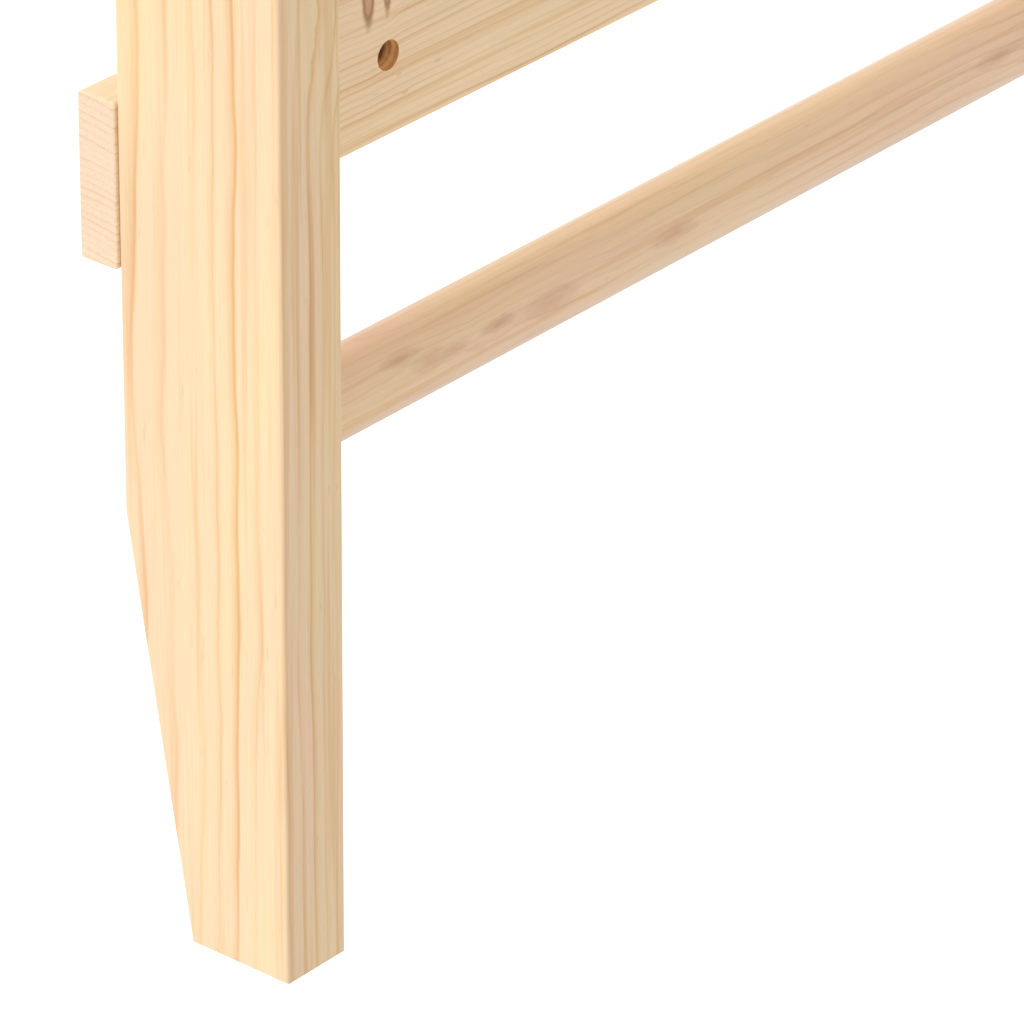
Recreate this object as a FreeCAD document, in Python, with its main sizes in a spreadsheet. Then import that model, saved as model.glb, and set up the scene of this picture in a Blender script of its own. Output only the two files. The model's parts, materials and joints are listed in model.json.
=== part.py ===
import FreeCAD, Part
import math
import os
import re

import Sketcher
from FreeCAD import Placement, Rotation, Vector

# Ceiling mounted pulley rack in pine: a ladder-shaped drying rack that hangs from a ceiling frame on two
# hinge bolts, and swings up flat under the ceiling when the cords over the pulleys pull it.
#
# Row frame, millimetres: the origin is the centre of the four ceiling bolt holes, in the ceiling plane.
# +X runs to the right along the rails, +Y from the hinge towards the pulleys, +Z up. The rack hangs straight
# down at rest.

# Driving dimensions, in millimetres.
SIZES = {
    # timber
    "timber_thick": 30,
    "timber_width": 70,
    "board_thick": 16,
    "board_width": 60,
    "rail_dia": 30,
    "edge_round": 1.2,
    # hanging rack
    "rack_width": 1000,
    "tip_width": 43,
    "taper_length": 157,
    "first_rail": 186,
    "rail_pitch": 180,
    "rail_count": 4,
    "rail_seat": 15,
    "rail_gap": 0.05,
    "board_overhang": 1.2,
    "cord_hole_inset": 135,
    "cord_seat_dia": 11,
    "cord_seat_depth": 8,
    "cord_hole_dia": 6,
    # ceiling frame
    "pivot_drop": 140,
    "hinge_setback": 55,
    "bolt_spacing": 400,
    "bolt_hole_dia": 9,
    "bolt_seat_dia": 20,
    "bolt_seat_depth": 10,
    # wood screws
    "board_screw_dia": 4.5,
    "board_screw_length": 45,
    "board_screw_spread": 30,
    "frame_screw_dia": 6,
    "frame_screw_length": 120,
    "frame_screw_spread": 44,
    "bracket_screw_dia": 5,
    "bracket_screw_length": 26,
    "plate_screw_dia": 4,
    "plate_screw_length": 20,
    # hinge brackets and pivots
    "bracket_metal": 3,
    "bracket_play": 1,
    "bracket_front": 48,
    "bracket_rear": 40,
    "bracket_below": 28,
    "bracket_round": 9,
    "bracket_screw_spread": 56,
    "pivot_dia": 10,
    "pivot_play": 0.05,
    "bush_wall": 2,
    "bush_proud": 0.7,
    "washer_metal": 2,
    "washer_dia": 20,
    "hex_flats": 17,
    "bolt_head": 6.4,
    "nut_height": 9,
    "bolt_tail": 3,
    "stop_dia": 8,
    "stop_below": 20,
    "stop_play": 0.3,
    # pulleys
    "plate_dia": 56,
    "plate_metal": 3,
    "plate_screw_circle": 42,
    "swivel_dia": 6,
    "swivel_play": 0.5,
    "swivel_head_dia": 11,
    "swivel_head": 3,
    "strap_metal": 2.5,
    "strap_width": 20,
    "strap_round": 3,
    "axle_drop": 34,
    "axle_dia": 6,
    "axle_head": 1.6,
    "axle_head_dia": 9,
    "sheave_dia": 36,
    "sheave_width": 10,
    "sheave_play": 1,
    "groove_dia": 7,
    "sheave_bush_dia": 9,
    "web_inner_dia": 14,
    "web_outer_dia": 25,
    "web_depth": 1.2,
}
SIDES = {"left": -1, "right": 1}
# A screw's head and its cross recess, over the shank's diameter.
COUNTERSINK = 2
RECESS_SPAN = 1.1
RECESS_WIDTH = 0.22
RECESS_DEPTH = 0.45
START_SIZE = 10  # the size that a sketch's lines are drawn at before the sheet's sizes are bound to them
TOUCHING = 1e-6  # the distance, in millimetres, under which two places are the same
LEAST_CHANGE = 1  # the volume, in cubic millimetres, that each feature adds or cuts at the very least
WAIST = 0.6  # how far down a hinge bracket its slanted rear edge ends, over the bracket's whole depth
FOLD_EASE = 0.5  # by how much the round of a bracket's outer fold is smaller than its metal is thick
# What the driving dimensions work out to, as text for the expressions below.
HALF_RACK = "rack_width / 2"
UPRIGHT_X = f"({HALF_RACK} - timber_thick / 2)"
PIVOT_HEIGHT = "(first_rail + (rail_count - 0.5) * rail_pitch)"
LOWER_BOARD_HEIGHT = "(first_rail + rail_pitch / 2)"
UPPER_BOARD_HEIGHT = "(first_rail + (rail_count - 1.5) * rail_pitch)"
RUNNER_LENGTH = f"(hinge_setback + {PIVOT_HEIGHT} - {LOWER_BOARD_HEIGHT} + timber_width / 2)"
HINGE_Y = f"(hinge_setback - {RUNNER_LENGTH} / 2)"
PULLEY_Y = f"({RUNNER_LENGTH} / 2 - timber_width / 2)"
FRONT_RAIL_Y = f"(timber_width / 2 - {RUNNER_LENGTH} / 2)"
TIP_Z = f"(0 - pivot_drop - {PIVOT_HEIGHT})"
UNDERSIDE_Z = "(0 - timber_thick)"
BRACKET_GAP = "(timber_thick + 2 * bracket_play)"
AXLE_Z = f"({UNDERSIDE_Z} - axle_drop)"
PULLEY_X = f"({HALF_RACK} - cord_hole_inset)"

doc = FreeCAD.newDocument("pulley_rack")
sheet = doc.addObject("Spreadsheet::Sheet", "Sizes")
nodes = []


def fill_sheet():
    for row, (alias, value) in enumerate(SIZES.items(), 1):
        sheet.set(f"A{row}", alias)
        sheet.set(f"B{row}", str(value))
        sheet.setAlias(f"B{row}", alias)
    doc.recompute()


def bound(text):
    """An expression with its sheet aliases written out as FreeCAD reads them."""

    def written_out(word):
        return f"Sizes.{word.group()}" if word.group() in SIZES else word.group()

    return re.sub(r"[a-z][a-z_]+", written_out, text)


def bind(item, **values):
    """Binds properties of an object to expressions."""
    for name, text in values.items():
        item.setExpression(name, bound(str(text)))
    return item


def place(item, x=0, y=0, z=0, turn=None):
    """Puts an object at a point given as expressions, turned by a rotation."""
    if turn is not None:
        item.Placement = Placement(Vector(), turn)
    for axis, text in zip("xyz", (x, y, z)):
        item.setExpression(f"Placement.Base.{axis}", bound(str(text)))
    return item


def node(item, name):
    """Marks an object as a sub-part, under the name that its file gets."""
    item.Label = name
    nodes.append(item)
    return item


# Sketches and PartDesign features


def new_body(name):
    return doc.addObject("PartDesign::Body", name)


def new_sketch(body, plane, offset="0"):
    """A sketch on one of the body's own origin planes, moved along the plane's normal."""
    sketch = body.newObject("Sketcher::SketchObject", "Sketch")
    support = next(item for item in body.Origin.OriginFeatures if item.Role == plane)
    sketch.AttachmentSupport = [(support, "")]
    sketch.MapMode = "FlatFace"
    sketch.setExpression("AttachmentOffset.Base.z", bound(offset))
    return sketch


def at(sketch, element, point, start, position):
    """Binds one point of a sketch element, drawn at start, to a position given as two expressions."""
    for kind, drawn, text in zip(("DistanceX", "DistanceY"), start, position):
        index = sketch.addConstraint(Sketcher.Constraint(kind, -1, 1, element, point, drawn))
        sketch.setExpression(f"Constraints[{index}]", bound(text))


def outline(sketch, points):
    """A closed outline of straight lines through points given as pairs of expressions."""
    turns = [2 * math.pi * index / len(points) for index in range(len(points))]
    corners = [Vector(START_SIZE * math.cos(turn), START_SIZE * math.sin(turn), 0) for turn in turns]
    first = sketch.GeometryCount
    for index, corner in enumerate(corners):
        sketch.addGeometry(Part.LineSegment(corner, corners[(index + 1) % len(corners)]), False)
    for index, position in enumerate(points):
        following = first + (index + 1) % len(points)
        sketch.addConstraint(Sketcher.Constraint("Coincident", first + index, 2, following, 1))
        at(sketch, first + index, 1, corners[index], position)


def box_outline(sketch, x, y, width, height):
    """A rectangle about the point x, y."""
    left, right = f"{x} - {width} / 2", f"{x} + {width} / 2"
    low, high = f"{y} - {height} / 2", f"{y} + {height} / 2"
    outline(sketch, [(left, low), (right, low), (right, high), (left, high)])


def circle(sketch, x, y, diameter):
    centre = Vector(START_SIZE, START_SIZE, 0)
    index = sketch.addGeometry(Part.Circle(centre, Vector(0, 0, 1), START_SIZE))
    at(sketch, index, 3, centre, (x, y))
    size = sketch.addConstraint(Sketcher.Constraint("Diameter", index, 2 * START_SIZE))
    sketch.setExpression(f"Constraints[{size}]", bound(diameter))


def pad(sketch, length, midplane=False, reverse=False):
    return feature("PartDesign::Pad", sketch, length, midplane, reverse)


def pocket(sketch, length, midplane=False, reverse=False):
    return feature("PartDesign::Pocket", sketch, length, midplane, reverse)


def feature(kind, sketch, length, midplane, reverse):
    body = sketch.getParentGeoFeatureGroup()
    before = body.Shape.Volume if body.Tip else 0
    made = body.newObject(kind, kind.split("::")[1])
    made.Profile = sketch
    made.Midplane = midplane
    made.Reversed = reverse
    bind(made, Length=length)
    sketch.Visibility = False
    doc.recompute()
    if abs(made.Shape.Volume - before) < LEAST_CHANGE:
        raise RuntimeError(f"{body.Name}: {made.Name} changes nothing")
    return made


def pattern(source, sketch, axis, length, count):
    """Repeats a feature in a line along one of its sketch's axes."""
    body = sketch.getParentGeoFeatureGroup()
    made = body.newObject("PartDesign::LinearPattern", "Pattern")
    made.Originals = [source]
    made.Direction = (sketch, [axis])
    bind(made, Length=length, Occurrences=count)
    body.Tip = made
    doc.recompute()
    return made


def round_edges(body, radius, chosen):
    """Rounds the edges of the body's last feature that the function chosen picks."""
    doc.recompute()
    last = body.Tip
    names = [f"Edge{i}" for i, edge in enumerate(last.Shape.Edges, 1) if chosen(edge)]
    made = body.newObject("PartDesign::Fillet", "Fillet")
    made.Base = (last, names)
    bind(made, Radius=radius)
    doc.recompute()
    return made


def runs_along(*axes):
    """Picks straight edges that run along one of the given axes."""

    def chosen(edge):
        if not isinstance(edge.Curve, Part.Line):
            return False
        return any(edge.tangentAt(edge.FirstParameter).cross(axis).Length < TOUCHING for axis in axes)

    return chosen


def on_faces_across_x(edge):
    """Picks the edges that outline a piece's two faces across X."""
    return edge.BoundBox.XLength < TOUCHING


# Part primitives and booleans


def cylinder(name, radius, height):
    return bind(doc.addObject("Part::Cylinder", name), Radius=radius, Height=height)


def cut(name, base, tool):
    made = doc.addObject("Part::Cut", name)
    made.Base = base
    made.Tool = tool
    return made


def fuse(name, *items):
    made = doc.addObject("Part::MultiFuse", name)
    made.Shapes = list(items)
    return made


def group(name, items):
    """Separate solids under one name."""
    made = doc.addObject("Part::Compound", name)
    made.Links = list(items)
    return made


def tube(name, outer, inner, height):
    return cut(name, cylinder("Outer", outer, height), cylinder("Inner", inner, height))


def hexagon(name, flats, height):
    """A hexagon that stands on z = 0, with the corners of its top face chamfered."""
    blank = doc.addObject("Part::Prism", "HexBlank")
    bind(blank, Circumradius=f"{flats} / 2 / cos(30)", Height=height)
    blank.Polygon = 6
    cone = doc.addObject("Part::Cone", "HexChamfer")
    bind(cone, Radius1=f"{flats} / 2 + {height} / tan(30)", Radius2=f"{flats} / 2", Height=height)
    made = doc.addObject("Part::Common", name)
    made.Base = blank
    made.Tool = cone
    return made


def wood_screw(diameter, length):
    """A countersunk screw: the flat of its head lies in its own XY plane, and its shank runs up +Z."""
    radius = f"{diameter} / 2"
    head = doc.addObject("Part::Cone", "ScrewHead")
    bind(head, Radius1=f"{radius} * {COUNTERSINK}", Radius2=radius, Height=radius)
    return fuse("WoodScrew", head, cylinder("ScrewShank", radius, length))


def cross_recess(diameter):
    """The cross that a driver turns a screw by."""
    arms = []
    long, narrow = f"({diameter} * {RECESS_SPAN})", f"({diameter} * {RECESS_WIDTH})"
    for length, width in ((long, narrow), (narrow, long)):
        arm = doc.addObject("Part::Box", "RecessArm")
        bind(arm, Length=length, Width=width, Height=f"{diameter} * {RECESS_DEPTH}")
        arms.append(place(arm, f"0 - {length} / 2", f"0 - {width} / 2"))
    return fuse("Recess", *arms)


def screw_set(name, diameter, length, axis, spots):
    """Screws that point along one axis, as one node.

    Returns the screws without their recesses, which are what cuts the screw holes.
    """
    plain = group("Screws", [place(wood_screw(diameter, length), *spot, along(axis)) for spot in spots])
    recesses = group("Recesses", [place(cross_recess(diameter), *spot, along(axis)) for spot in spots])
    node(cut(name, plain, recesses), name)
    return plain


def along(axis):
    """The rotation that turns +Z to an axis."""
    return Rotation(Vector(0, 0, 1), axis)


# Hanging rack


def board_screws(name, height):
    """Two screws through each end of a board into the uprights' back edges."""
    spots = []
    for side in SIDES.values():
        for level in (-1, 1):
            z = f"{TIP_Z} + {height} + {level} * board_screw_spread / 2"
            spots.append((f"{side} * {UPRIGHT_X}", f"{HINGE_Y} + timber_width / 2 + board_thick", z))
    return screw_set(name, "board_screw_dia", "board_screw_length", Vector(0, -1, 0), spots)


def upright(side_name, side, screws):
    """A side of the rack: tip tapered at the back, rail seats on the inner face, round top."""
    body = new_body(f"UprightBlank_{side_name}")
    profile = new_sketch(body, "YZ_Plane")
    front, back = "0 - timber_width / 2", "timber_width / 2"
    tip = [(front, "0"), ("tip_width - timber_width / 2", "0")]
    outline(profile, [*tip, (back, "taper_length"), (back, PIVOT_HEIGHT), (front, PIVOT_HEIGHT)])
    pad(profile, "timber_thick", midplane=True)
    top = new_sketch(body, "YZ_Plane")
    circle(top, "0", PIVOT_HEIGHT, "timber_width")
    pad(top, "timber_thick", midplane=True)
    round_edges(body, "edge_round", on_faces_across_x)
    seats = new_sketch(body, "YZ_Plane", f"{-side} * timber_thick / 2")
    circle(seats, "0", "first_rail", "rail_dia + 2 * rail_gap")
    seat = pocket(seats, "rail_seat", reverse=side > 0)
    pattern(seat, seats, "V_Axis", "(rail_count - 1) * rail_pitch", "rail_count")
    bore = new_sketch(body, "YZ_Plane")
    circle(bore, "0", PIVOT_HEIGHT, "pivot_dia + 2 * bush_wall")
    pocket(bore, "timber_thick * 2", midplane=True)
    place(body, f"{side} * {UPRIGHT_X}", HINGE_Y, TIP_Z)
    name = f"rack_upright_{side_name}"
    return node(cut(name, body, screws), name)


def rail(number_up):
    """A round hanging rail, its ends glued into the uprights."""
    name = f"hanging_rail_{number_up}"
    length = "(rack_width - 2 * timber_thick + 2 * rail_seat)"
    made = cylinder(name, "rail_dia / 2", length)
    z = f"{TIP_Z} + first_rail + {number_up - 1} * rail_pitch"
    return node(place(made, f"0 - {length} / 2", HINGE_Y, z, along(Vector(1, 0, 0))), name)


def board(name, height, screws, cord_holes):
    """A flat board across the uprights' back edges, screwed on from behind."""
    body = new_body(f"{name}_blank")
    profile = new_sketch(body, "YZ_Plane")
    box_outline(profile, "board_thick / 2", "0", "board_thick", "board_width")
    pad(profile, "rack_width + 2 * board_overhang", midplane=True)
    round_edges(body, "edge_round", runs_along(Vector(1, 0, 0)))
    round_edges(body, "edge_round / 2", on_faces_across_x)
    if cord_holes:
        for diameter, depth in (("cord_seat_dia", "cord_seat_depth"), ("cord_hole_dia", "2 * board_thick")):
            holes = new_sketch(body, "XZ_Plane")
            for side in SIDES.values():
                circle(holes, f"{side} * {PULLEY_X}", "0", diameter)
            pocket(holes, depth)
    place(body, 0, f"{HINGE_Y} + timber_width / 2", f"{TIP_Z} + {height}")
    return node(cut(name, body, screws), name)


def hanging_rack():
    lower_screws = board_screws("lower_board_screws", LOWER_BOARD_HEIGHT)
    upper_screws = board_screws("upper_board_screws", UPPER_BOARD_HEIGHT)
    all_screws = group("BoardScrews", [lower_screws, upper_screws])
    for side_name, side in SIDES.items():
        upright(side_name, side, all_screws)
        pivot_bush(side_name, side)
    for number_up in range(1, SIZES["rail_count"] + 1):
        rail(number_up)
    board("lower_board", LOWER_BOARD_HEIGHT, lower_screws, cord_holes=True)
    board("upper_board", UPPER_BOARD_HEIGHT, upper_screws, cord_holes=False)


# Hinges


def pivot_bush(side_name, side):
    """The sleeve pressed into an upright, which turns on the pivot bolt."""
    name = f"pivot_bush_{side_name}"
    length = "(timber_thick + 2 * bush_proud)"
    made = tube(name, "pivot_dia / 2 + bush_wall", "pivot_dia / 2", length)
    x = f"{side} * {UPRIGHT_X} - {length} / 2"
    return node(place(made, x, HINGE_Y, "0 - pivot_drop", along(Vector(1, 0, 0))), name)


def bracket_screws():
    """Two screws up through each bracket's base into its runner."""
    spots = []
    for side in SIDES.values():
        for end in (-1, 1):
            y = f"{HINGE_Y} + (bracket_rear - bracket_front) / 2 + {end} * bracket_screw_spread / 2"
            spots.append((f"{side} * {UPRIGHT_X}", y, f"{UNDERSIDE_Z} - bracket_metal"))
    return screw_set("bracket_screws", "bracket_screw_dia", "bracket_screw_length", Vector(0, 0, 1), spots)


def hinge_bracket(side_name, side, screws):
    """A folded steel channel under a runner, whose two cheeks hold the pivot bolt and the stop pin."""
    body = new_body(f"BracketBlank_{side_name}")
    depth = f"(pivot_drop + {UNDERSIDE_Z} + bracket_below)"
    front, rear = "0 - bracket_front", "bracket_rear"
    cheeks = new_sketch(body, "YZ_Plane")
    low, waist = f"0 - {depth}", f"0 - {depth} * {WAIST}"
    heel = [("bracket_below", low), ("bracket_below", waist)]
    outline(cheeks, [(front, low), *heel, (rear, "0"), (front, "0")])
    pad(cheeks, f"{BRACKET_GAP} + 2 * bracket_metal", midplane=True)
    across = runs_along(Vector(1, 0, 0))
    round_edges(body, "bracket_round", lambda edge: across(edge) and edge.BoundBox.ZMax < -TOUCHING)
    channel = new_sketch(body, "XZ_Plane")
    box_outline(channel, "0", f"0 - bracket_metal - {depth}", BRACKET_GAP, f"2 * {depth}")
    pocket(channel, "4 * bracket_front", midplane=True)
    fold = runs_along(Vector(0, 1, 0))
    outer_fold = f"bracket_metal - {FOLD_EASE}"
    round_edges(body, outer_fold, lambda edge: fold(edge) and edge.BoundBox.ZMax > -TOUCHING)
    holes = new_sketch(body, "YZ_Plane")
    pivot_z = f"0 - pivot_drop - {UNDERSIDE_Z}"
    circle(holes, "0", pivot_z, "pivot_dia")
    circle(holes, "0 - timber_width / 2 - stop_play - stop_dia / 2", f"{pivot_z} - stop_below", "stop_dia")
    pocket(holes, "2 * timber_width", midplane=True)
    place(body, f"{side} * {UPRIGHT_X}", HINGE_Y, UNDERSIDE_Z)
    name = f"hinge_bracket_{side_name}"
    return node(cut(name, body, screws), name)


def pivot_bolt(side_name, side):
    """A hexagon bolt from the outer cheek to the nut inside the inner one."""
    name = f"pivot_bolt_{side_name}"
    shank = f"(washer_metal * 2 + bracket_metal * 2 + {BRACKET_GAP} + nut_height + bolt_tail)"
    head = place(hexagon("BoltHead", "hex_flats", "bolt_head"), turn=along(Vector(0, 0, -1)))
    made = fuse(name, head, cylinder("BoltShank", "pivot_dia / 2 - pivot_play", shank))
    x = f"{side} * ({UPRIGHT_X} + {BRACKET_GAP} / 2 + bracket_metal + washer_metal)"
    return node(place(made, x, HINGE_Y, "0 - pivot_drop", along(Vector(-side, 0, 0))), name)


def pivot_washers():
    made = []
    for side in SIDES.values():
        for face in (-1, 1):
            washer = tube("Washer", "washer_dia / 2", "pivot_dia / 2", "washer_metal")
            cheek = f"({BRACKET_GAP} / 2 + bracket_metal)"
            x = f"{side} * {UPRIGHT_X} + {face} * {cheek} - {int(face < 0)} * washer_metal"
            made.append(place(washer, x, HINGE_Y, "0 - pivot_drop", along(Vector(1, 0, 0))))
    return node(group("pivot_washers", made), "pivot_washers")


def pivot_nuts():
    made = []
    for side in SIDES.values():
        blank = hexagon("NutBlank", "hex_flats", "nut_height")
        nut = cut("Nut", blank, cylinder("NutBore", "pivot_dia / 2", "nut_height"))
        x = f"{side} * ({UPRIGHT_X} - {BRACKET_GAP} / 2 - bracket_metal - washer_metal)"
        made.append(place(nut, x, HINGE_Y, "0 - pivot_drop", along(Vector(-side, 0, 0))))
    return node(group("pivot_nuts", made), "pivot_nuts")


def stop_pins():
    """The pins across the brackets that the uprights' front faces rest on while the rack hangs down."""
    made = []
    length = f"({BRACKET_GAP} + 2 * bracket_metal)"
    for side in SIDES.values():
        pin = cylinder("StopPin", "stop_dia / 2", length)
        y = f"{HINGE_Y} - timber_width / 2 - stop_play - stop_dia / 2"
        x = f"{side} * {UPRIGHT_X} - {length} / 2"
        made.append(place(pin, x, y, "0 - pivot_drop - stop_below", along(Vector(1, 0, 0))))
    return node(group("stop_pins", made), "stop_pins")


def hinges():
    screws = bracket_screws()
    for side_name, side in SIDES.items():
        hinge_bracket(side_name, side, screws)
        pivot_bolt(side_name, side)
    pivot_washers()
    pivot_nuts()
    stop_pins()
    return screws


# Ceiling frame


def frame_screws():
    """On each side, two screws through the runner into the end of each cross rail."""
    made = []
    for side_name, side in SIDES.items():
        spots = []
        for y in (FRONT_RAIL_Y, PULLEY_Y):
            for end in (-1, 1):
                x = f"{side} * ({UPRIGHT_X} + timber_width / 2)"
                spots.append((x, f"{y} + {end} * frame_screw_spread / 2", "0 - timber_thick / 2"))
        name = f"frame_screws_{side_name}"
        made.append(screw_set(name, "frame_screw_dia", "frame_screw_length", Vector(-side, 0, 0), spots))
    return group("FrameScrews", made)


def runner(side_name, side, screws):
    """A ceiling batten laid flat, with two seated holes for the ceiling bolts."""
    body = new_body(f"RunnerBlank_{side_name}")
    profile = new_sketch(body, "XZ_Plane")
    box_outline(profile, "0", "0 - timber_thick / 2", "timber_width", "timber_thick")
    pad(profile, RUNNER_LENGTH, midplane=True)
    round_edges(body, "edge_round", runs_along(Vector(0, 1, 0)))
    for diameter, depth, level in (
        ("bolt_hole_dia", "2 * timber_thick", "0 - timber_thick"),
        ("bolt_seat_dia", "bolt_seat_depth", "0 - timber_thick"),
    ):
        holes = new_sketch(body, "XY_Plane", level)
        for end in (-1, 1):
            circle(holes, "0", f"{end} * bolt_spacing / 2", diameter)
        pocket(holes, depth, reverse=True)
    place(body, f"{side} * {UPRIGHT_X}")
    name = f"ceiling_runner_{side_name}"
    return node(cut(name, body, screws), name)


def cross_rail(name, y, screws):
    body = new_body(f"{name}_blank")
    profile = new_sketch(body, "YZ_Plane")
    box_outline(profile, "0", "0 - timber_thick / 2", "timber_width", "timber_thick")
    pad(profile, "rack_width - timber_thick - timber_width", midplane=True)
    round_edges(body, "edge_round", runs_along(Vector(1, 0, 0)))
    place(body, 0, y)
    return node(cut(name, body, screws), name)


# Pulleys


def plate_screws():
    """Three screws through each pulley plate."""
    spots = []
    for side in SIDES.values():
        for turn in (90, 210, 330):
            x = f"{side} * {PULLEY_X} + plate_screw_circle / 2 * cos({turn})"
            y = f"{PULLEY_Y} + plate_screw_circle / 2 * sin({turn})"
            spots.append((x, y, f"{UNDERSIDE_Z} - plate_metal"))
    return screw_set("pulley_plate_screws", "plate_screw_dia", "plate_screw_length", Vector(0, 0, 1), spots)


def pulley_plate(side_name, side, screws):
    """The round plate that a pulley block swivels under."""
    blank = tube("PlateBlank", "plate_dia / 2", "swivel_dia / 2", "plate_metal")
    place(blank, f"{side} * {PULLEY_X}", PULLEY_Y, f"{UNDERSIDE_Z} - plate_metal")
    name = f"pulley_plate_{side_name}"
    return node(cut(name, blank, screws), name)


def swivel_pin(side_name, side):
    """The pin riveted in a plate, whose head carries the block."""
    name = f"swivel_pin_{side_name}"
    shank_length = "(plate_metal + 2 * swivel_play + strap_metal + swivel_head)"
    shank = place(cylinder("PinShank", "swivel_dia / 2", shank_length), 0, 0, f"0 - {shank_length}")
    head = place(cylinder("PinHead", "swivel_head_dia / 2", "swivel_head"), 0, 0, f"0 - {shank_length}")
    made = fuse(name, shank, head)
    return node(place(made, f"{side} * {PULLEY_X}", PULLEY_Y, UNDERSIDE_Z), name)


def strap(side_name, side, gap):
    """A block's folded strap: a crown that turns on the swivel pin, and a cheek each side of the sheaves."""
    body = new_body(f"Strap_{side_name}")
    crown = "0 - plate_metal - swivel_play"
    cheek_height = f"(axle_drop + {crown})"
    profile = new_sketch(body, "YZ_Plane")
    box_outline(profile, "0", f"{crown} - {cheek_height} / 2", f"({gap} + 2 * strap_metal)", cheek_height)
    pad(profile, "strap_width", midplane=True)
    ears = new_sketch(body, "XZ_Plane")
    circle(ears, "0", "0 - axle_drop", "strap_width")
    pad(ears, f"{gap} + 2 * strap_metal", midplane=True)
    fold, top = runs_along(Vector(1, 0, 0)), body.Shape.BoundBox.ZMax
    round_edges(body, "strap_round", lambda edge: fold(edge) and edge.BoundBox.ZMin > top - TOUCHING)
    channel = new_sketch(body, "YZ_Plane")
    box_outline(channel, "0", f"{crown} - strap_metal - axle_drop", gap, "2 * axle_drop")
    pocket(channel, "2 * strap_width", midplane=True)
    eye = new_sketch(body, "XY_Plane")
    circle(eye, "0", "0", "swivel_dia + 2 * pivot_play")
    pocket(eye, "axle_drop / 2")
    axle_hole = new_sketch(body, "XZ_Plane")
    circle(axle_hole, "0", "0 - axle_drop", "axle_dia")
    pocket(axle_hole, f"2 * ({gap} + strap_width)", midplane=True)
    place(body, f"{side} * {PULLEY_X}", PULLEY_Y, UNDERSIDE_Z)
    return node(body, f"pulley_strap_{side_name}")


def axle(side_name, side, gap):
    """The rivet that the sheaves turn on."""
    name = f"sheave_axle_{side_name}"
    length = f"({gap} + 2 * strap_metal)"
    parts = [cylinder("AxleShank", "axle_dia / 2", length)]
    for z in ("0 - axle_head", length):
        parts.append(place(cylinder("AxleHead", "axle_head_dia / 2", "axle_head"), 0, 0, z))
    made = fuse(name, *parts)
    y = f"{PULLEY_Y} - {length} / 2"
    return node(place(made, f"{side} * {PULLEY_X}", y, AXLE_Z, along(Vector(0, 1, 0))), name)


def sheave(name, side, y):
    """A grooved wheel with a shallow ring turned out of each face, and the bush pressed into it."""
    groove = doc.addObject("Part::Torus", "Groove")
    place(bind(groove, Radius1="sheave_dia / 2", Radius2="groove_dia / 2"), 0, 0, "sheave_width / 2")
    tools = [groove, cylinder("SheaveBore", "sheave_bush_dia / 2", "sheave_width")]
    for z in ("0", "sheave_width - web_depth"):
        tools.append(place(tube("Web", "web_outer_dia / 2", "web_inner_dia / 2", "web_depth"), 0, 0, z))
    blank = cylinder("SheaveBlank", "sheave_dia / 2", "sheave_width")
    wheel = cut(f"sheave_{name}", blank, group("SheaveTools", tools))
    bush = tube(f"sheave_bush_{name}", "sheave_bush_dia / 2", "axle_dia / 2 + pivot_play", "sheave_width")
    for item in (wheel, bush):
        start = f"{y} - sheave_width / 2"
        node(place(item, f"{side} * {PULLEY_X}", start, AXLE_Z, along(Vector(0, 1, 0))), item.Label)


def single_block():
    gap = "(sheave_width + 2 * sheave_play)"
    strap("left", SIDES["left"], gap)
    axle("left", SIDES["left"], gap)
    sheave("left", SIDES["left"], PULLEY_Y)


def double_block():
    """Two sheaves side by side on one axle."""
    gap = "(2 * sheave_width + 3 * sheave_play)"
    strap("right", SIDES["right"], gap)
    axle("right", SIDES["right"], gap)
    offset = "(sheave_width + sheave_play) / 2"
    sheave("right_front", SIDES["right"], f"{PULLEY_Y} - {offset}")
    sheave("right_rear", SIDES["right"], f"{PULLEY_Y} + {offset}")


def ceiling_frame():
    holders = group("RunnerScrews", [frame_screws(), hinges()])
    for side_name, side in SIDES.items():
        runner(side_name, side, holders)
    plates = plate_screws()
    cross_rail("front_cross_rail", FRONT_RAIL_Y, holders)
    cross_rail("rear_cross_rail", PULLEY_Y, group("RailTools", [holders, plates]))
    for side_name, side in SIDES.items():
        pulley_plate(side_name, side, plates)
        swivel_pin(side_name, side)
    single_block()
    double_block()


def write_parts():
    """Stops on anything that failed, then writes each sub-part to its own file."""
    doc.recompute()
    failed = [item.Name for item in doc.Objects if {"Invalid", "Error"} & set(item.State)]
    if failed:
        raise RuntimeError(f"these objects failed: {failed}")
    os.makedirs("parts", exist_ok=True)
    for item in nodes:
        shape = item.Shape
        if shape.isNull() or not shape.isValid() or not shape.Solids:
            raise RuntimeError(f"{item.Label} has no valid solid")
        shape.exportStep(f"parts/{item.Label}.step")
        print(f"{item.Label}: {len(shape.Solids)} solids, {shape.Volume:.0f} mm3")


fill_sheet()
hanging_rack()
ceiling_frame()
write_parts()
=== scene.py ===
"""The looks of a ceiling mounted pulley rack in pine: camera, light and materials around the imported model.

Row frame, metres: the origin is in the ceiling plane, +X runs along the rails and +Y from the hinge to the
pulleys.
"""

import json
import math

import bpy
from mathutils import Matrix, Vector


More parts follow.
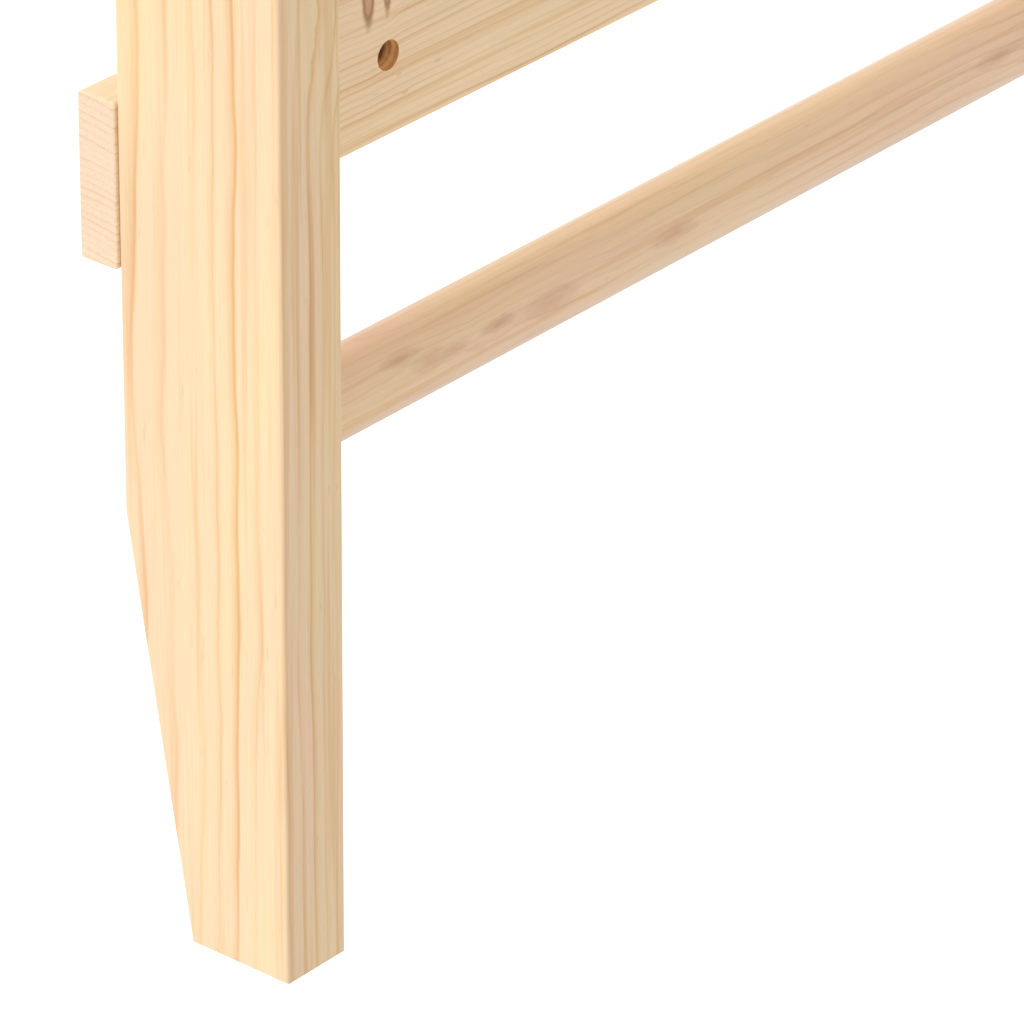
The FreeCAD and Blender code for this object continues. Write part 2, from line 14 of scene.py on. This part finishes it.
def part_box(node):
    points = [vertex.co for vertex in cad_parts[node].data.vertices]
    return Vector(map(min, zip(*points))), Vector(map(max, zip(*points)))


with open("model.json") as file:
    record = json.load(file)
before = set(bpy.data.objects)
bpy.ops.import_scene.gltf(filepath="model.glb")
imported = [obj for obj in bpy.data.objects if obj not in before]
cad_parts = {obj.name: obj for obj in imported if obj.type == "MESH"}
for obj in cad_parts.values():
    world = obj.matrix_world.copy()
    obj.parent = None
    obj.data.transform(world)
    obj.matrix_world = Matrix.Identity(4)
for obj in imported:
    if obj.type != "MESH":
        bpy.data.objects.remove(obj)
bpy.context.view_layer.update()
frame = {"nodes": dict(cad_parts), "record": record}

NODES = frame["nodes"]

# Camera

CAMERA_PLACE = (-2.0665, -1.6810, 0.3366)
CAMERA_AZIMUTH = math.radians(-50.54)  # from looking along +Y
CAMERA_TILT = math.radians(61.999)  # up from looking straight down
CAMERA_ROLL = math.radians(0.402)
SENSOR_MM = 36.0
LENS_MM = 256.09
FARTHEST = 60.0


def make_camera():
    """A long lens at the lower left front corner of the hanging rack, looking down on it."""
    data = bpy.data.cameras.new("Camera")
    data.sensor_width = SENSOR_MM
    data.lens = LENS_MM
    data.clip_end = FARTHEST
    camera = bpy.data.objects.new("Camera", data)
    turn = Matrix.Rotation(CAMERA_AZIMUTH, 4, "Z") @ Matrix.Rotation(CAMERA_TILT, 4, "X")
    camera.matrix_world = Matrix.Translation(CAMERA_PLACE) @ turn @ Matrix.Rotation(CAMERA_ROLL, 4, "Z")
    bpy.context.scene.collection.objects.link(camera)
    bpy.context.scene.camera = camera


make_camera()

# Shader nodes

MIX_FACTOR, MIX_FIRST, MIX_SECOND = 0, 6, 7  # a Mix node's sockets when it mixes colours


class Nodes:
    """A node tree, built from the inside out."""

    def __init__(self, tree):
        self.tree = tree

    def add(self, kind, **settings):
        made = self.tree.nodes.new("ShaderNode" + kind)
        for key, value in settings.items():
            setattr(made, key, value)
        return made

    def feed(self, socket, value):
        """Links a socket to another, or sets it to a constant."""
        if isinstance(value, bpy.types.NodeSocket):
            self.tree.links.new(value, socket)
        elif socket.type == "RGBA":
            socket.default_value = (*value, 1.0)
        else:
            socket.default_value = value

    def call(self, made, *values):
        """Feeds a node's first sockets and returns its first output."""
        for socket, value in zip(made.inputs, values):
            self.feed(socket, value)
        return made.outputs[0]

    def math(self, operation, *values):
        return self.call(self.add("Math", operation=operation), *values)

    def product(self, first, *others):
        """Several numbers multiplied together."""
        for other in others:
            first = self.math("MULTIPLY", first, other)
        return first

    def vector(self, operation, *values):
        """Vector maths: a vector, or for LENGTH and DOT_PRODUCT a number."""
        made = self.add("VectorMath", operation=operation)
        self.call(made, *values)
        return made.outputs["Value" if operation in ("LENGTH", "DOT_PRODUCT") else "Vector"]

    def join(self, x, y, z):
        return self.call(self.add("CombineXYZ"), x, y, z)

    def split(self, vector):
        made = self.add("SeparateXYZ")
        self.feed(made.inputs[0], vector)
        return list(made.outputs)

    def noise(self, vector, scale=1.0, detail=2.0, roughness=0.5, output="Fac"):
        made = self.add("TexNoise")
        self.feed(made.inputs["Vector"], vector)
        made.inputs["Scale"].default_value = scale
        made.inputs["Detail"].default_value = detail
        made.inputs["Roughness"].default_value = roughness
        return made.outputs[output]

    def span(self, value, low, high, to_low=0.0, to_high=1.0, smooth=True):
        """Maps low..high to to_low..to_high, clamped."""
        made = self.add("MapRange", interpolation_type="SMOOTHSTEP" if smooth else "LINEAR", clamp=True)
        return self.call(made, value, low, high, to_low, to_high)

    def mix(self, factor, first, second, blend="MIX"):
        made = self.add("Mix", data_type="RGBA", blend_type=blend)
        self.feed(made.inputs[MIX_FACTOR], factor)
        self.feed(made.inputs[MIX_FIRST], first)
        self.feed(made.inputs[MIX_SECOND], second)
        return made.outputs[2]

    def times(self, first, second):
        """One colour multiplied by another."""
        return self.mix(1.0, first, second, "MULTIPLY")

    def ramp(self, value, *stops):
        """A grey ramp of (position, level) stops."""
        made = self.add("ValToRGB")
        elements = made.color_ramp.elements
        while len(elements) < len(stops):
            elements.new(0.5)
        for element, (position, level) in zip(elements, stops):
            element.position = position
            element.color = (level, level, level, 1.0)
        self.feed(made.inputs[0], value)
        return made.outputs["Color"]


class Surface(Nodes):
    """One material."""

    def __init__(self, name):
        self.material = bpy.data.materials.new(name)
        self.material.use_nodes = True
        super().__init__(self.material.node_tree)
        self.shader = self.tree.nodes["Principled BSDF"]
        self.place = self.add("TexCoord").outputs["Object"]

    def set(self, **sockets):
        """Sets or links the shader's sockets, named with underscores for spaces."""
        for name, value in sockets.items():
            self.feed(self.shader.inputs[name.replace("_", " ")], value)

    def bump(self, height, distance, strength):
        made = self.add("Bump")
        made.inputs["Strength"].default_value = strength
        made.inputs["Distance"].default_value = distance
        self.feed(made.inputs["Height"], height)
        self.set(Normal=made.outputs[0])


# Light and floor

FLOOR_Z = -2.3
FLOOR_SIZE = 40
SKY_ABOVE = (0.85, 0.835, 0.86)
SKY_BELOW = (0.91, 0.895, 0.865)
HORIZON = 0.35  # the slope, up and down, over which the two skies blend
SUN_ANGLE = math.radians(35)
SUN_COLOUR = (1.0, 0.98, 0.94)
LEFT_LIGHT = {"strength": 1.38, "comes_from": (-0.83, 0.15, 0.33)}
BACK_LIGHT = {"strength": 1.2, "comes_from": (0.0, 0.90, 0.42)}


def make_world():
    """An even white studio, a little brighter and warmer below, with a plain white backdrop."""
    world = bpy.data.worlds.new("Studio")
    world.use_nodes = True
    world.node_tree.nodes.clear()
    t = Nodes(world.node_tree)
    height = t.split(t.add("TexCoord").outputs["Generated"])[2]
    sky = t.add("Background")
    t.feed(sky.inputs["Color"], t.mix(t.span(height, -HORIZON, HORIZON), SKY_BELOW, SKY_ABOVE))
    backdrop = t.add("Background")
    t.feed(backdrop.inputs["Color"], (1.0, 1.0, 1.0))
    seen = t.add("LightPath").outputs["Is Camera Ray"]
    light = t.call(t.add("MixShader"), seen, sky.outputs[0], backdrop.outputs[0])
    t.feed(t.add("OutputWorld").inputs["Surface"], light)
    bpy.context.scene.world = world


def make_light(name, strength, comes_from):
    """A soft light, as from a large window."""
    data = bpy.data.lights.new(name, "SUN")
    data.energy = strength
    data.angle = SUN_ANGLE
    data.color = SUN_COLOUR
    sun = bpy.data.objects.new(name, data)
    sun.rotation_euler = Vector(comes_from).to_track_quat("Z", "Y").to_euler()
    bpy.context.scene.collection.objects.link(sun)


def make_floor():
    bpy.ops.mesh.primitive_plane_add(size=FLOOR_SIZE, location=(0, 0, FLOOR_Z))
    floor = bpy.context.object
    floor.name = "floor"
    t = Surface("pale_floor")
    t.set(Base_Color=(0.9, 0.9, 0.89), Roughness=0.9, Emission_Color=(1.0, 1.0, 1.0), Emission_Strength=0.3)
    floor.data.materials.append(t.material)
    floor.visible_diffuse = False


make_world()
make_light("left", **LEFT_LIGHT)
make_light("back", **BACK_LIGHT)
make_floor()
bpy.context.scene.view_settings.view_transform = "Standard"

# Pine

KNOT_RIM = (0.28, 0.138, 0.042)
KNOT_HEART = (0.60, 0.34, 0.19)
# For each grain direction, which row axes run across it and which along it.
ACROSS = {"X": (1, 2, 0), "Y": (2, 0, 1), "Z": (0, 1, 2)}
# How dark the wood is through one year, from the pale spring growth to the sharp edge of the late growth.
LATEWOOD = ((0.0, 0.15), (0.18, 0.0), (0.55, 0.08), (0.8, 0.5), (0.9, 1.0), (0.94, 0.75), (1.0, 0.15))
# The wood's noises: cells per metre across the grain and along it, and a shift that sets one noise apart from
# the next.
FIBRE = (850.0, 16.0, 11.0)
HAIR = (2600.0, 60.0, 5.0)
STREAK = (240.0, 5.0, 9.0)
FLECK = (620.0, 95.0, 13.0)
ZONE = (26.0, 3.5, 2.0)
FADE = (45.0, 7.0, 17.0)
KNOT_EDGE = (240.0, 90.0, 1.9)
# The pith's waves, slow to fast: each a noise, and its size as a share of the look's sway.
PITH_WAVES = (((2.5, 2.6, 3.1), 1.0), ((18.0, 8.0, 7.7), 0.36), ((60.0, 26.0, 5.3), 0.06))
PORES = 2200.0  # cells per metre
SPREAD = 60.0  # changes per metre in how wide the years are
STREAK_TINT = (0.94, 0.88, 0.79)
FLECK_COLOUR = (0.60, 0.40, 0.22)
END_TINTS = ((0.86, 0.82, 0.90), (0.94, 0.91, 1.0))
RELIEF = 0.00025  # the height of the grain's bump
PLAIN = (1.0, 1.0, 1.0)
# How a kind of timber looks. ring is a year's growth and sway is how far the rings wander, both in metres.
# pink and yellow are the tints of its zones. bend is how far a knot pushes the rings aside, in metres, rim is
# how deep its edge fades and ragged how uneven it is.
FRAME_LOOK = {
    "ring": 0.0051,
    "sway": 0.017,
    "early": (0.860, 0.670, 0.430),
    "late": (0.720, 0.440, 0.195),
    "pink": (0.99, 0.94, 0.955),
    "yellow": (1.0, 1.0, 0.92),
    "contrast": 1.1,
    "sheen": 0.4,
    "bend": 0.006,
    "rim": 0.35,
    "ragged": 0.9,
}
RAIL_LOOK = {
    "ring": 0.0042,
    "sway": 0.030,
    "early": (0.870, 0.655, 0.422),
    "late": (0.740, 0.490, 0.270),
    "pink": (1.0, 0.94, 0.98),
    "yellow": (1.0, 1.0, 0.93),
    "contrast": 0.5,
    "sheen": 0.9,
    "bend": 0.004,
    "rim": 1.2,
    "ragged": 0.9,
}
BOARD_LOOK = {
    "ring": 0.0027,
    "sway": 0.012,
    "early": (0.930, 0.750, 0.505),
    "late": (0.740, 0.490, 0.270),
    "pink": (0.985, 0.955, 0.94),
    "yellow": (1.0, 0.995, 0.96),
    "contrast": 0.45,
    "sheen": 0.4,
    "bend": 0.0012,
    "rim": 0.35,
    "ragged": 0.35,
}


class Pine(Surface):
    """Sawn pine: yearly rings about a pith line along the grain, seen wherever the saw cut through them.

    pith is the pith's place across the grain, from the middle of the piece. Each knot is a centre in the row
    frame, a radius across the grain, a radius along it, and a strength. The seed sets one piece apart from
    the next.
    """

    def __init__(self, node, look, grain, pith, knots=(), seed=0.0):
        super().__init__(f"pine_{node}")
        self.look = look
        self.seed = seed
        self.along = "XYZ".index(grain)
        low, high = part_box(node)
        parts = self.split(self.vector("SUBTRACT", self.place, tuple((low + high) / 2)))
        self.spot = [parts[axis] for axis in ACROSS[grain]]
        facing = self.split(self.add("TexCoord").outputs["Normal"])
        self.facing = [facing[axis] for axis in ACROSS[grain]]
        self.end = self.span(self.math("ABSOLUTE", self.facing[2]), 0.75, 0.97)
        self.side = self.math("SUBTRACT", 1.0, self.end)
        self.off_pith = self.from_pith(pith)
        radius = self.vector("LENGTH", self.off_pith)
        self.plainness = self.cut()
        self.knot = self.knot_depth = None
        for knot in knots:
            radius = self.math("ADD", radius, self.add_knot(*knot))
        self.latewood = self.rings(radius)
        self.fibre = self.noise(self.stretched(*FIBRE), detail=3.0, roughness=0.62)
        self.pore = self.noise(self.place, PORES)
        self.colour = self.end_grain(self.long_grain())
        self.finish()

    def stretched(self, across, lengthwise, shift):
        """Coordinates for a noise with so many cells per metre across the grain and along it."""
        rates = zip(self.spot, (across, across, lengthwise))
        shift += self.seed
        return self.join(*(self.math("MULTIPLY_ADD", part, rate, shift) for part, rate in rates))

    def wave(self, cells, size):
        """A push across the grain."""
        push = self.noise(self.stretched(*cells), output="Color")
        push = self.vector("SUBTRACT", push, (0.5, 0.5, 0.5))
        return self.vector("MULTIPLY", push, (size, size, 0.0))

    def from_pith(self, pith):
        """The way from the pith, which sways along the trunk."""
        off_pith = self.vector("SUBTRACT", self.join(*self.spot[:2], 0.0), (*pith, 0.0))
        for cells, share in PITH_WAVES:
            off_pith = self.vector("ADD", off_pith, self.wave(cells, share * self.look["sway"]))
        return off_pith

    def add_knot(self, centre, across, lengthwise, strength):
        """Adds a knot to the mask, and returns how far it pushes the rings about it."""
        look = self.look
        reach = [1.0 / across] * 3
        reach[self.along] = 1.0 / lengthwise
        near = self.vector("MULTIPLY", self.vector("SUBTRACT", self.place, centre), tuple(reach))
        wobble = self.noise(self.stretched(*KNOT_EDGE), detail=4.0)
        wobble = self.math("MULTIPLY_ADD", wobble, look["ragged"], -0.5 * look["ragged"])
        distance = self.math("ADD", self.vector("LENGTH", near), wobble)
        inside = self.span(distance, 1.1, 1.0 - look["rim"], 0.0, strength)
        if self.knot is None:
            self.knot, self.knot_depth = inside, distance
        else:
            self.knot = self.math("MAXIMUM", self.knot, inside)
            self.knot_depth = self.math("MINIMUM", self.knot_depth, distance)
        return self.span(distance, 3.4, 0.6, 0.0, min(look["bend"], 0.6 * across))

    def rings(self, radius):
        """How much of the colour is latewood: thin dark lines, each year of its own strength and width."""
        spread = self.noise(self.join(self.math("MULTIPLY", radius, SPREAD), 0.0, self.seed), detail=1.0)
        years = self.math("DIVIDE", radius, self.look["ring"])
        years = self.math("MULTIPLY_ADD", spread, 1.6, years)
        year = self.math("FRACT", years)
        mood = self.add("TexWhiteNoise", noise_dimensions="1D")
        self.feed(mood.inputs["W"], self.math("FLOOR", years))
        late = self.ramp(year, *LATEWOOD)
        contrast = self.look["contrast"]
        depth = self.span(mood.outputs["Value"], 0.0, 1.0, 0.4 * contrast, 1.2 * contrast, smooth=False)
        fade = self.span(self.noise(self.stretched(*FADE)), 0.35, 0.62, 0.35, 1.0)
        return self.product(late, depth, fade, self.plainness)

    def cut(self):
        """How plainly the rings show: most where the saw crossed them, least where it ran along them."""
        outward = self.vector("NORMALIZE", self.off_pith)
        along = self.math("ABSOLUTE", self.vector("DOT_PRODUCT", outward, self.join(*self.facing[:2], 0.0)))
        return self.span(along, 0.55, 0.85, 1.9, 0.85)

    def long_grain(self):
        """The colour along the grain: rings, broad pink and yellow zones, fibres, flecks and knots."""
        look = self.look
        hair = self.noise(self.stretched(*HAIR))
        streak = self.span(self.noise(self.stretched(*STREAK), detail=3.0), 0.53, 0.68)
        streak = self.product(streak, self.side, self.plainness)
        fleck = self.span(self.noise(self.stretched(*FLECK), detail=1.0), 0.70, 0.80, 0.0, 0.30)
        fleck = self.product(fleck, self.side)
        quiet = self.math("MULTIPLY_ADD", self.end, -0.3, 1.0)
        colour = self.mix(self.product(self.latewood, quiet), look["early"], look["late"])
        zone = self.span(self.noise(self.stretched(*ZONE)), 0.34, 0.66)
        colour = self.times(colour, self.mix(zone, look["yellow"], look["pink"]))
        colour = self.times(colour, self.ramp(self.fibre, (0.25, 0.90), (0.5, 0.97), (0.75, 1.0)))
        colour = self.times(colour, self.ramp(hair, (0.3, 0.965), (0.6, 1.0)))
        colour = self.times(colour, self.mix(streak, PLAIN, STREAK_TINT))
        colour = self.mix(fleck, colour, FLECK_COLOUR)
        if self.knot is None:
            return colour
        knot_colour = self.mix(self.span(self.knot_depth, 0.45, 0.8), KNOT_HEART, KNOT_RIM)
        return self.mix(self.knot, colour, knot_colour)

    def end_grain(self, colour):
        """The sawn ends are pinker and duller than the long faces."""
        tint = self.mix(self.span(self.pore, 0.35, 0.65), *END_TINTS)
        return self.mix(self.end, colour, self.times(colour, tint))

    def finish(self):
        self.set(
            Base_Color=self.colour,
            Roughness=self.span(self.fibre, 0.2, 0.8, 0.50, 0.64, smooth=False),
            Specular_IOR_Level=0.35,
            Sheen_Weight=self.look["sheen"],
            Sheen_Roughness=0.3,
        )
        relief = self.math("MULTIPLY_ADD", self.latewood, 0.5, self.product(self.fibre, 0.6))
        sawn = self.product(self.pore, self.end, 0.8)
        self.bump(self.math("ADD", relief, sawn), RELIEF, 0.5)


class BoredPine(Pine):
    """Pine whose cord holes are bored along +Y from its front face, with painted light and shade inside each
    hole: bands of painted highlight and painted shade down the wall, and painted shade deepening towards the
    seat's floor.
    """

    PAINTED_SHADE_REACH = 0.0056  # from the hole's axis: how far the painted shade and highlight reach, just outside its wall
    BANDS = (520.0, 60.0)  # rings per metre down the hole, and how much they wander round it
    SEAT = (0.0055, 0.0078)  # the painted shade darkens over these depths, towards the seat's floor
    # Colours multiplied into the wood inside the holes: painted highlight bands, painted shade bands, and
    # painted deep shade at the seat's floor.
    HOLE_PAINTED_HIGHLIGHT = (1.25, 1.08, 0.75)
    HOLE_PAINTED_SHADE = (0.85, 0.65, 0.37)
    HOLE_PAINTED_DEEP_SHADE = (0.36, 0.24, 0.15)

    def finish(self):
        mount = next(m for m in frame["record"]["mounts"] if m["name"] == "cord_hole_right")
        x, y, z = self.split(self.place)
        off_axis = self.join(
            self.math("SUBTRACT", self.math("ABSOLUTE", x), mount["pos_m"][0]),
            self.math("SUBTRACT", z, mount["pos_m"][2]),
            0.0,
        )
        inside = self.math("LESS_THAN", self.vector("LENGTH", off_axis), self.PAINTED_SHADE_REACH)
        depth = self.math("SUBTRACT", y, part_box("lower_board")[0].y)
        # Painted light and shade inside the hole: lighter and darker bands down the wall, darkening to
        # painted shade towards the seat's floor.
        rings = self.noise(self.join(self.product(depth, self.BANDS[0]), self.product(z, self.BANDS[1]), 0.0))
        painted_hole_shade = self.mix(self.span(rings, 0.42, 0.58), self.HOLE_PAINTED_SHADE, self.HOLE_PAINTED_HIGHLIGHT)
        painted_hole_shade = self.mix(self.span(depth, *self.SEAT), painted_hole_shade, self.HOLE_PAINTED_DEEP_SHADE)
        self.colour = self.mix(inside, self.colour, self.times(self.colour, painted_hole_shade))
        super().finish()


def paint(node, material):
    mesh = NODES[node].data
    mesh.materials.clear()
    mesh.materials.append(material)


# Healed knots show on the left upright's front, along the lowest rail and at the lower board's top edge, and
# specks of resin below that edge. Each ends in a radius across the grain, a radius along it and a strength.
# From the upright's front inner corner, outwards both ways, and from its tip.
UPRIGHT_KNOTS = ((0.008, 0.005, 0.366, 0.012, 0.022, 0.5),)
# From the left upright along the rail, and degrees up from the rail's front.
RAIL_KNOTS = (
    (0.0562, 39.0, 0.0028, 0.0130, 0.70),
    (0.0698, 19.5, 0.0045, 0.0120, 0.52),
    (0.0800, 17.5, 0.0024, 0.0100, 0.78),
    (0.1043, 18.0, 0.0026, 0.0110, 0.95),
    (0.1321, 11.5, 0.0055, 0.0160, 0.55),
    (0.2002, 15.0, 0.0034, 0.0150, 0.70),
    (0.3915, 21.5, 0.0028, 0.0190, 0.75),
)
# From the board's left hole, to the right and up.
BOARD_KNOTS = (
    (-0.0102, 0.0300, 0.0180, 0.0038, 0.95),
    (-0.0003, 0.0300, 0.0160, 0.0026, 0.90),
    (0.0260, -0.0108, 0.0006, 0.0020, 0.30),
    (0.0055, -0.0089, 0.0005, 0.0016, 0.30),
    (0.0087, -0.0167, 0.0006, 0.0018, 0.30),
)


def upright_knots():
    low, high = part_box("rack_upright_left")
    return [
        ((high.x + inward, low.y - forward, low.z + above), *size)
        for inward, forward, above, *size in UPRIGHT_KNOTS
    ]


def rail_knots():
    """The knots' places, on the rail's round surface."""
    low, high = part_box("hanging_rail_1")
    middle = (low + high) / 2
    radius = (high.z - low.z) / 2
    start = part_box("rack_upright_left")[1].x
    places = []
    for along, degrees, *size in RAIL_KNOTS:
        up = math.radians(degrees)
        place = (start + along, middle.y - radius * math.cos(up), middle.z + radius * math.sin(up))
        places.append((place, *size))
    return places


def board_knots():
    hole = next(m for m in frame["record"]["mounts"] if m["name"] == "cord_hole_left")["pos_m"]
    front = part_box("lower_board")[0].y
    return [((hole[0] + right, front, hole[2] + up), *size) for right, up, *size in BOARD_KNOTS]


def timber_materials():
    """Each timber has its own pith and seed, so no two show the same rings."""
    timbers = [
        Pine("rack_upright_left", FRAME_LOOK, "Z", (0.25, 0.16), upright_knots(), seed=12.0),
        Pine("rack_upright_right", FRAME_LOOK, "Z", (-0.11, 0.16), seed=4.0),
        Pine("hanging_rail_1", RAIL_LOOK, "X", (0.02, 0.09), rail_knots(), seed=7.0),
        Pine("hanging_rail_2", RAIL_LOOK, "X", (0.05, -0.07), seed=14.0),
        Pine("hanging_rail_3", RAIL_LOOK, "X", (-0.08, 0.03), seed=21.0),
        Pine("hanging_rail_4", RAIL_LOOK, "X", (0.03, 0.10), seed=28.0),
        BoredPine("lower_board", BOARD_LOOK, "X", (0.02, -0.16), board_knots(), seed=21.0),
        Pine("upper_board", BOARD_LOOK, "X", (-0.05, 0.12), seed=23.0),
        Pine("ceiling_runner_left", FRAME_LOOK, "Y", (0.16, 0.05), seed=31.0),
        Pine("ceiling_runner_right", FRAME_LOOK, "Y", (-0.12, 0.10), seed=33.0),
        Pine("front_cross_rail", FRAME_LOOK, "X", (0.08, 0.16), seed=35.0),
        Pine("rear_cross_rail", FRAME_LOOK, "X", (-0.10, 0.13), seed=37.0),
    ]
    for timber in timbers:
        paint(timber.material.name.removeprefix("pine_"), timber.material)


# Metal and plastic


def powder_coat():
    """Satin black powder coat: orange peel, and a very faint bloom."""
    t = Surface("powder_coat")
    bloom = t.noise(t.place, 45.0, 4.0)
    t.set(
        Base_Color=t.mix(t.span(bloom, 0.4, 0.75), (0.024, 0.024, 0.026), (0.032, 0.032, 0.033)),
        Roughness=t.span(bloom, 0.3, 0.7, 0.38, 0.45, smooth=False),
    )
    t.bump(t.noise(t.place, 900.0), 0.00012, 0.5)
    return t.material


def zinc_plate():
    """Bright zinc plate with a faint mottle and fine tool marks."""
    t = Surface("zinc_plate")
    mottle = t.noise(t.place, 260.0, 4.0)
    t.set(
        Base_Color=t.mix(t.span(mottle, 0.3, 0.7), (0.60, 0.61, 0.62), (0.74, 0.74, 0.72)),
        Roughness=t.span(mottle, 0.3, 0.7, 0.24, 0.40, smooth=False),
        Metallic=1.0,
    )
    t.bump(t.noise(t.vector("MULTIPLY", t.place, (300.0, 3000.0, 3000.0))), 0.00005, 0.4)
    return t.material


def plain_brass():
    t = Surface("plain_brass")
    mottle = t.noise(t.place, 180.0, 4.0)
    t.set(
        Base_Color=t.mix(t.span(mottle, 0.3, 0.7), (0.62, 0.43, 0.17), (0.74, 0.56, 0.27)),
        Roughness=t.span(mottle, 0.3, 0.7, 0.26, 0.42, smooth=False),
        Metallic=1.0,
    )
    t.bump(t.noise(t.place, 1500.0), 0.00004, 0.4)
    return t.material


def moulded_nylon():
    """Moulded off-white nylon, a little translucent, rubbed darker where it has been handled."""
    t = Surface("moulded_nylon")
    cloud = t.noise(t.place, 60.0, 3.0)
    t.set(
        Base_Color=t.mix(t.span(cloud, 0.35, 0.75), (0.80, 0.78, 0.72), (0.72, 0.69, 0.61)),
        Roughness=t.span(cloud, 0.3, 0.7, 0.34, 0.46, smooth=False),
        Subsurface_Weight=0.15,
        Subsurface_Scale=0.002,
    )
    t.bump(t.noise(t.place, 1400.0), 0.00005, 0.4)
    return t.material


def hardware_materials():
    made = {
        "black_steel": powder_coat(),
        "zinc_steel": zinc_plate(),
        "bush_metal": plain_brass(),
        "nylon": moulded_nylon(),
    }
    for entry in frame["record"]["subparts"]:
        if entry["material_slot"] in made:
            paint(entry["node"], made[entry["material_slot"]])


timber_materials()
hardware_materials()
